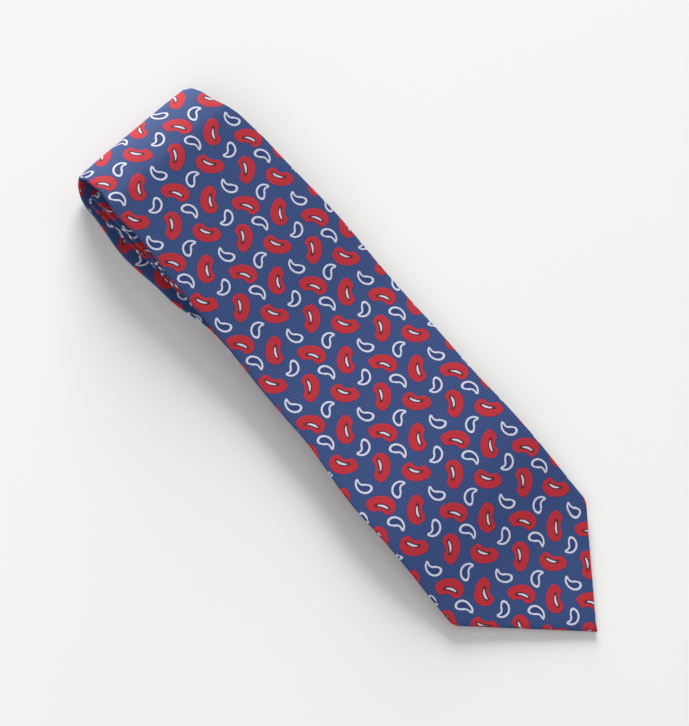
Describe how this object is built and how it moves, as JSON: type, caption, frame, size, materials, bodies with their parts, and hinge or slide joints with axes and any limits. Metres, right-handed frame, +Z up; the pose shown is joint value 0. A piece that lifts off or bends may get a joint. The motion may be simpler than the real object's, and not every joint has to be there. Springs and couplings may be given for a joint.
{
  "type": "necktie",
  "caption": "Silk necktie rolled flat with the pointed front blade on top, opening at its first fold, with keeper loop, labels and tipping behind.",
  "frame": {"origin": "middle of the base that the rolled tie rests on", "axes": "+X along the tie towards the front blade's point, +Z up from the table, +Y across the tie"},
  "size_m": [0.294, 0.088, 0.0225],
  "materials": {
    "patterned_silk": "woven twill with red and white paisley motifs",
    "wool_canvas": "brushed woven interlining",
    "tipping_satin": "plain navy lining satin",
    "sewing_thread": "twisted navy thread",
    "label_satin": "plain woven label ribbon",
    "label_thread": "pale thread"
  },
  "bodies": {
    "folded_roll": {"blade_panel_rest": "patterned_silk", "neck_panel_silk": "patterned_silk", "tail_panel_silk": "patterned_silk", "neck_join_thread": "sewing_thread", "tail_join_thread": "sewing_thread", "blade_canvas_rest": "wool_canvas", "tail_canvas": "wool_canvas", "roll_slip_stitch": "sewing_thread", "tail_tipping": "tipping_satin", "tail_bar_tack": "sewing_thread", "tail_thread_loop": "sewing_thread"},
    "fold_web": {"fold_silk": "patterned_silk", "fold_canvas": "wool_canvas", "fold_slip_stitch": "sewing_thread"},
    "front_blade": {"front_blade_silk": "patterned_silk", "front_blade_canvas": "wool_canvas", "blade_tipping": "tipping_satin", "blade_slip_stitch": "sewing_thread", "blade_bar_tack": "sewing_thread", "blade_thread_loop": "sewing_thread", "keeper_loop": "patterned_silk", "keeper_loop_stitches": "sewing_thread", "name_label_blank": "label_satin", "name_label_stitches": "label_thread", "care_label_blank": "label_satin", "care_label_stitch": "label_thread"}
  },
  "joints": [
    {"name": "fold_lower", "type": "hinge", "parent": "folded_roll", "child": "fold_web", "pos_m": [-0.1437, 0, 0.0033], "axis": [0, -1, 0], "range_deg": [0, 90]},
    {"name": "fold_upper", "type": "hinge", "parent": "fold_web", "child": "front_blade", "pos_m": [-0.1437, 0, 0.0192], "axis": [0, -1, 0], "range_deg": [0, 90]}
  ],
  "couplings": [
    {"joint": "fold_upper", "follows": "fold_lower", "ratio": 1}
  ]
}
